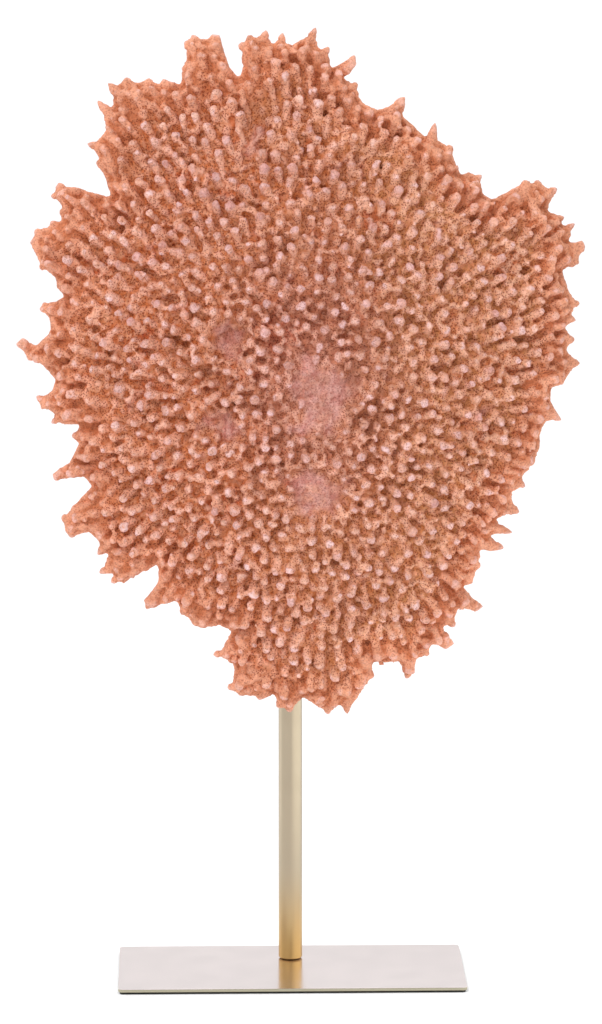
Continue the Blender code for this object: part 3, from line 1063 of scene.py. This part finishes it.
def build_floor():
    """Wide pale matte floor."""
    half = FLOOR_HALF
    corners = [(-half, -half, 0), (half, -half, 0), (half, half, 0), (-half, half, 0)]
    data = bpy.data.meshes.new("floor")
    data.from_pydata(corners, [], [(0, 1, 2, 3)])
    floor = bpy.data.objects.new("floor", data)
    bpy.context.scene.collection.objects.link(floor)
    nodes = Nodes("floor_white")
    shade = nodes.mix(nodes.noise(3.0), (0.94, 0.95, 0.97, 1.0), (0.96, 0.97, 0.99, 1.0))
    nodes.set(nodes.shader, "Base Color", shade)
    nodes.set(nodes.shader, "Roughness", 0.9)
    nodes.set(nodes.shader, "Specular IOR Level", 0.1)
    data.materials.append(nodes.material)


def build_surroundings():
    """White surroundings, dimmer in front of the object than behind it."""
    world = bpy.data.worlds.new("studio")
    world.use_nodes = True
    tree = world.node_tree
    coordinates = tree.nodes.new("ShaderNodeTexCoord")
    direction = tree.nodes.new("ShaderNodeSeparateXYZ")
    strength = tree.nodes.new("ShaderNodeMapRange")
    strength.inputs["From Min"].default_value = -0.95
    strength.inputs["From Max"].default_value = -0.2
    strength.inputs["To Min"].default_value = 0.66
    strength.inputs["To Max"].default_value = 0.96
    background = tree.nodes["Background"]
    background.inputs["Color"].default_value = (1.0, 1.0, 1.0, 1.0)
    tree.links.new(coordinates.outputs["Generated"], direction.inputs["Vector"])
    tree.links.new(direction.outputs["Y"], strength.inputs["Value"])
    tree.links.new(strength.outputs["Result"], background.inputs["Strength"])
    bpy.context.scene.world = world


def build_lamps():
    """Warm key from the left, two low strips beside the post, a top lamp and a lit backdrop."""
    middle = (0.0, 0.0, 0.25)
    foot = (0.0, 0.0, 0.02)
    add_lamp("key", (1.0, 1.0), 24.0, (-0.9, -1.6, 1.9), middle, (1.0, 0.985, 0.96))
    add_lamp("right_strip", (0.70, 0.30), 0.56, (0.26, -0.08, 0.02), foot, (0.98, 1.0, 0.96))
    add_lamp("left_strip", (0.16, 0.30), 0.08, (-0.25, 0.12, 0.02), foot)
    add_lamp("top", (1.6, 1.6), 8.0, (0.0, 0.4, 2.4), middle)
    add_lamp("backdrop", (7.0, 5.0), 45.0, (0.0, 5.5, 3.0), (0.0, 5.5, 0.0))


def build_camera():
    """Camera at the photograph's viewing angle and framing."""
    data = bpy.data.cameras.new("camera")
    data.sensor_width = SENSOR
    data.lens = SENSOR * CAMERA_DISTANCE / (PICTURE_HEIGHT * METRES_PER_PIXEL)
    data.clip_end = CAMERA_CLIP_END
    camera = bpy.data.objects.new("camera", data)
    level = math.cos(CAMERA_ELEVATION)
    away = Vector((
        math.sin(CAMERA_AZIMUTH) * level,
        -math.cos(CAMERA_AZIMUTH) * level,
        math.sin(CAMERA_ELEVATION),
    ))
    camera.location = PICTURE_CENTRE + away * CAMERA_DISTANCE
    camera.rotation_euler = (-away).to_track_quat("-Z", "Y").to_euler()
    bpy.context.scene.collection.objects.link(camera)
    bpy.context.scene.camera = camera


def build_studio():
    """Floor, surroundings, lamps and camera."""
    build_floor()
    build_surroundings()
    build_lamps()
    build_camera()
    bpy.context.scene.view_settings.view_transform = "Standard"


build_coral()
give_material("post", brass_material())
give_material("base_plate", plate_material())
give_material("base_pad", pad_material())
build_studio()
